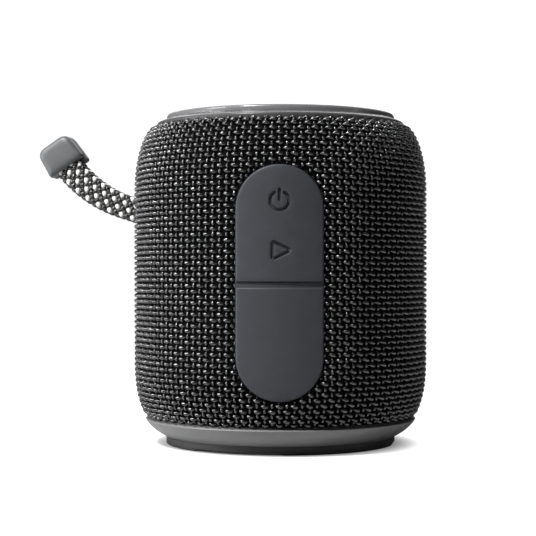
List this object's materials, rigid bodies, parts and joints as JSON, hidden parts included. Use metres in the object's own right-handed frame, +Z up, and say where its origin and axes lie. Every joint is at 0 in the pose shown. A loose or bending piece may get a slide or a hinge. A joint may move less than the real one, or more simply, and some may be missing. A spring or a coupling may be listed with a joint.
{
  "type": "portable bluetooth speaker",
  "caption": "Round portable speaker in a black woven sleeve, with a pill-shaped key and port panel, a ringed top and base, and a braided wrist strap with an end clip.",
  "frame": {"origin": "centre of the base, on the plane that the rubber foot rests on", "axes": "+Z up along the barrel's axis, -Y out of the control panel, the strap leaves on the -X side"},
  "size_m": [0.1183, 0.0877, 0.0985],
  "materials": {
    "sleeve_fabric": "woven from thick glossy black yarn",
    "inner_plastic": "moulded, fine texture",
    "ring_plastic": "satin",
    "bezel_plastic": "satin",
    "soft_rubber": "soft touch",
    "panel_rubber": "soft touch",
    "foot_rubber": "matt",
    "seal_foam": "closed-cell foam",
    "circuit_board": "solder mask",
    "tin_plate": "tinned",
    "film_cable": "film",
    "chip_plastic": "moulded",
    "screw_steel": "zinc plated",
    "cell_foil": "foil",
    "wire_red": "insulation",
    "wire_black": "insulation",
    "basket_steel": "zinc plated",
    "magnet_ferrite": "sintered",
    "coil_copper": "enamelled copper",
    "cone_paper": "pressed paper",
    "surround_rubber": "butyl",
    "spider_cloth": "resin-dipped cloth",
    "radiator_metal": "anodised",
    "strap_braid": "black braid with light squares",
    "clip_plastic": "satin"
  },
  "bodies": {
    "housing": {"fabric_sleeve": "sleeve_fabric", "grille_shell": "inner_plastic", "top_ring": "ring_plastic", "top_bezel": "bezel_plastic", "top_panel": "soft_rubber", "top_chassis": "inner_plastic", "deflector": "inner_plastic", "top_board": "circuit_board", "top_switches": "tin_plate", "ribbon_cable": "film_cable", "chassis_screws": "screw_steel", "base_ring": "ring_plastic", "bottom_cover": "inner_plastic", "foot_ring": "foot_rubber", "base_screws": "screw_steel", "panel_frame": "inner_plastic", "key_pad": "panel_rubber", "port_cover_pin": "screw_steel", "main_board": "circuit_board", "key_switches": "tin_plate", "usb_c_port": "tin_plate", "bluetooth_module": "tin_plate", "board_chips": "chip_plastic", "board_screws": "screw_steel", "enclosure_body": "inner_plastic", "enclosure_gasket": "seal_foam", "baffle_plate": "inner_plastic", "baffle_screws": "screw_steel", "wire_grommet": "foot_rubber", "battery_cell": "cell_foil", "battery_cradle": "inner_plastic", "battery_lead": "wire_red", "driver_lead": "wire_black", "driver_gasket": "seal_foam", "driver_basket": "basket_steel", "driver_yoke": "basket_steel", "driver_magnet": "magnet_ferrite", "driver_top_plate": "basket_steel", "driver_screws": "screw_steel", "radiator_frame": "inner_plastic", "radiator_screws": "screw_steel", "strap_anchor": "basket_steel", "strap_pin": "screw_steel"},
    "power_button": {"power_key": "panel_rubber"},
    "play_button": {"play_key": "panel_rubber"},
    "volume_up_button": {"volume_up_key": "soft_rubber"},
    "volume_down_button": {"volume_down_key": "soft_rubber"},
    "port_flap": {"port_cover": "panel_rubber"},
    "cone_assembly": {"driver_cone": "cone_paper", "dust_cap": "cone_paper", "voice_coil": "coil_copper", "driver_surround": "surround_rubber", "driver_spider": "spider_cloth"},
    "radiator": {"radiator_plate": "radiator_metal", "radiator_surround": "surround_rubber"},
    "strap_eye": {"strap_root": "strap_braid"},
    "strap_tail": {"strap_loop": "strap_braid", "clip_front": "clip_plastic", "clip_rear": "clip_plastic"}
  },
  "joints": [
    {"name": "power_press", "type": "slide", "parent": "housing", "child": "power_button", "axis": [0, 1, 0], "range_m": [0, 0.0004]},
    {"name": "play_press", "type": "slide", "parent": "housing", "child": "play_button", "axis": [0, 1, 0], "range_m": [0, 0.0004]},
    {"name": "volume_up_press", "type": "slide", "parent": "housing", "child": "volume_up_button", "axis": [0, 0, -1], "range_m": [0, 0.0004]},
    {"name": "volume_down_press", "type": "slide", "parent": "housing", "child": "volume_down_button", "axis": [0, 0, -1], "range_m": [0, 0.0004]},
    {"name": "port_cover_hinge", "type": "hinge", "parent": "housing", "child": "port_flap", "pos_m": [0, -0.0416, 0.0207], "axis": [1, 0, 0], "range_deg": [0, 90]},
    {"name": "strap_swing", "type": "hinge", "parent": "housing", "child": "strap_eye", "pos_m": [-0.039, 0.00688, 0.0684], "axis": [0, 0, 1], "range_deg": [-15, 15]},
    {"name": "strap_lift", "type": "hinge", "parent": "strap_eye", "child": "strap_tail", "pos_m": [-0.04776, 0.00842, 0.0713], "axis": [0.1736, 0.9848, 0], "range_deg": [-90, 45]},
    {"name": "cone_travel", "type": "slide", "parent": "housing", "child": "cone_assembly", "axis": [0, 0, 1], "range_m": [-0.0015, 0.0015]},
    {"name": "radiator_travel", "type": "slide", "parent": "housing", "child": "radiator", "axis": [0, 0, 1], "range_m": [-0.0012, 0.0012]}
  ],
  "couplings": [
    {"joint": "radiator_travel", "follows": "cone_travel", "ratio": 0.8}
  ]
}
